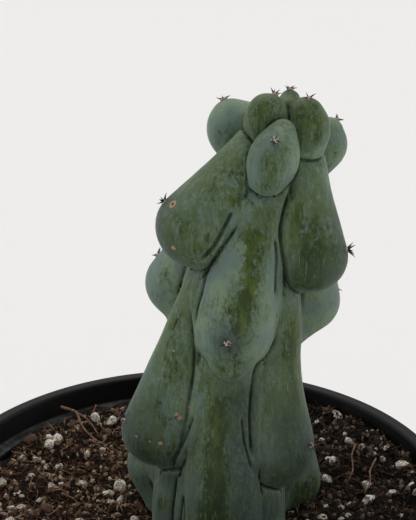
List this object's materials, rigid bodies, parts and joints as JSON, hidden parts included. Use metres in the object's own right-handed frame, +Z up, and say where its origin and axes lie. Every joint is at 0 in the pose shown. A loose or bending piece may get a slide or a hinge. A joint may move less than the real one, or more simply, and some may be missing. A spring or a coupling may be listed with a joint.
{
  "type": "potted cactus",
  "caption": "Short ribbed cactus with drooping rounded lobes, rooted in soil in a round tapered nursery pot with a stepped rim.",
  "frame": {"origin": "centre of the flat underside of the pot", "axes": "+Z up along the plant, the side seen first looks towards -Y"},
  "size_m": [0.16, 0.16, 0.2483],
  "materials": {
    "cactus_skin": "matte",
    "black_plastic": "satin",
    "potting_soil": "matte"
  },
  "bodies": {
    "root": {"cactus": "cactus_skin", "pot": "black_plastic", "soil": "potting_soil"}
  },
  "joints": []
}
